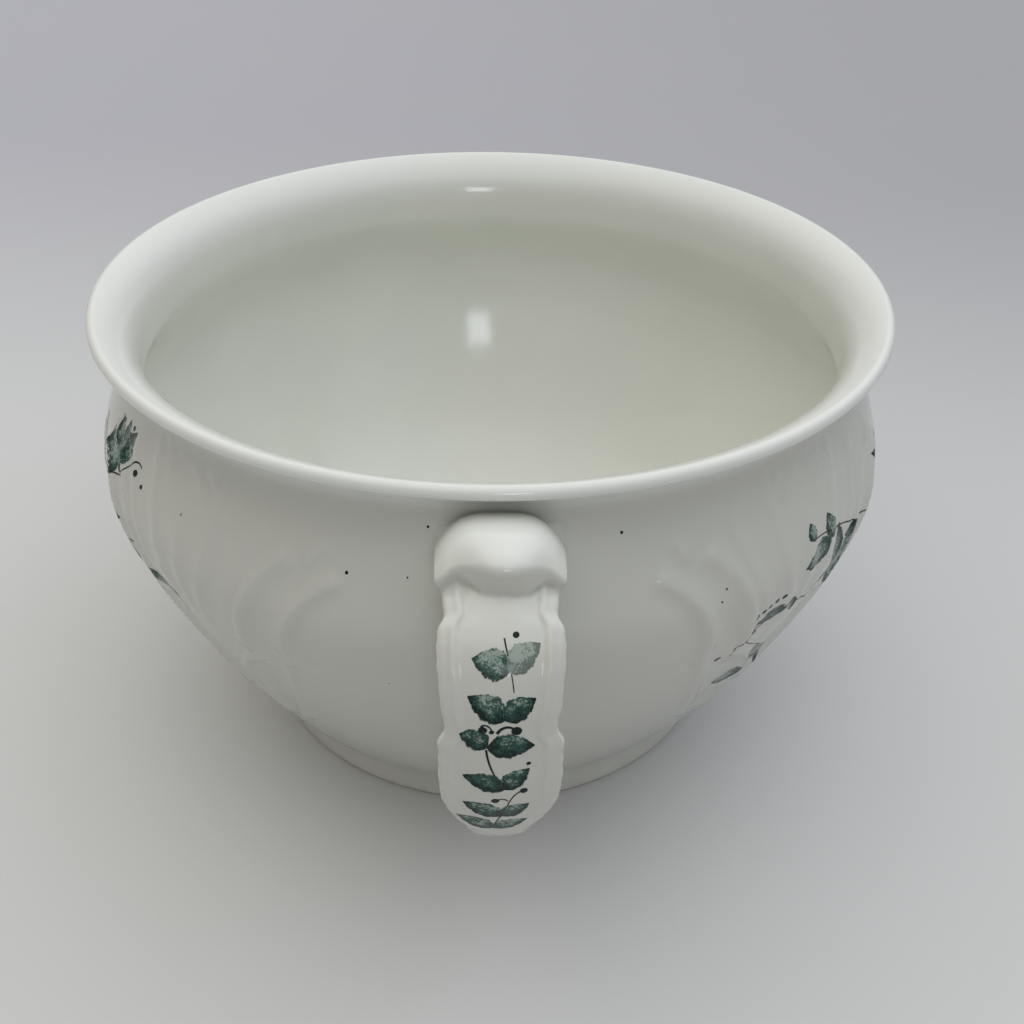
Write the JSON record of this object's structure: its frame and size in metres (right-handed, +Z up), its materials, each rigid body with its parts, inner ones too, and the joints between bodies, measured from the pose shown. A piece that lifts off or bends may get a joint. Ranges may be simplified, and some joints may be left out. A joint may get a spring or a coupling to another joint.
{
  "type": "chamber pot",
  "caption": "Round glazed earthenware chamber pot with a flared lip, a moulded belly, a ring foot and a scalloped strap handle under a folded leaf.",
  "frame": {"origin": "centre of the foot ring on the table", "axes": "+Z up along the bowl's axis, the handle points to -Y, +X to the right as one faces the handle"},
  "size_m": [0.2372, 0.2668, 0.143],
  "materials": {
    "glaze": "clear glossy glaze over a warm white body, with a green leaf print on the outside",
    "foot_glaze": "thin glaze, wiped bare and worn on the standing edge",
    "slip": "slip under the same glaze, pooled a little"
  },
  "bodies": {
    "root": {"bowl_wall": "glaze", "floor_disc": "glaze", "foot_ring": "foot_glaze", "handle": "glaze", "upper_lute": "slip", "lower_lute": "slip"}
  },
  "joints": []
}
